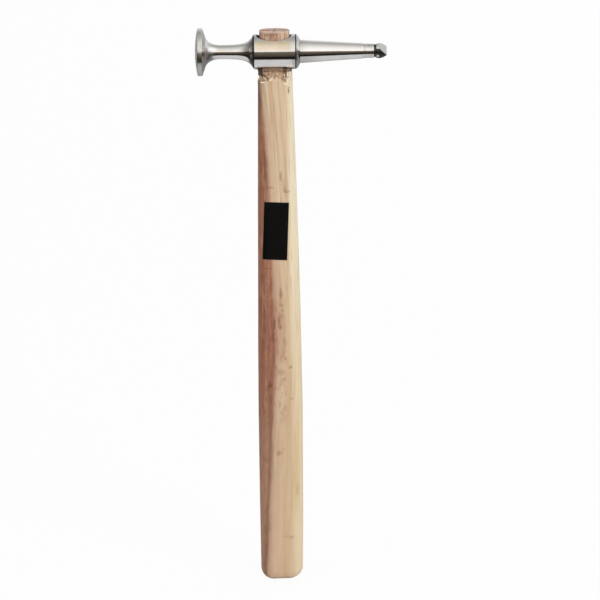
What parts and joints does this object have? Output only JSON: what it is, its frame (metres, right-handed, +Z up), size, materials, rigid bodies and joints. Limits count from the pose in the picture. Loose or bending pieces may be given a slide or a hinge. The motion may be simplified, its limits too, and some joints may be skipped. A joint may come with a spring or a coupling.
{
  "type": "auto body hammer",
  "caption": "Upright body hammer: turned steel head with a round crowned striking face and a short cross chisel, wedged on a rounded wooden handle.",
  "frame": {"origin": "on the flat butt end of the handle, straight below the middle of the barrel", "axes": "+Z up the handle towards the head, +X along the head towards the chisel (the striking face points to -X), +Y away from the side that carries the label"},
  "size_m": [0.116, 0.0288, 0.3494],
  "materials": {
    "polished_steel": "turned and polished, bright",
    "ground_steel": "ground bevels, matt",
    "handle_wood": "sanded, bare, straight grain with a reddish heartwood side",
    "wedge_wood": "sawn end grain",
    "wedge_steel": "dark, as rolled",
    "black_label": "thin plastic sticker, blank"
  },
  "bodies": {
    "root": {"hammer_head": "polished_steel", "chisel_tip": "ground_steel", "handle": "handle_wood", "wooden_wedge": "wedge_wood", "steel_wedge": "wedge_steel", "blank_label": "black_label"}
  },
  "joints": []
}
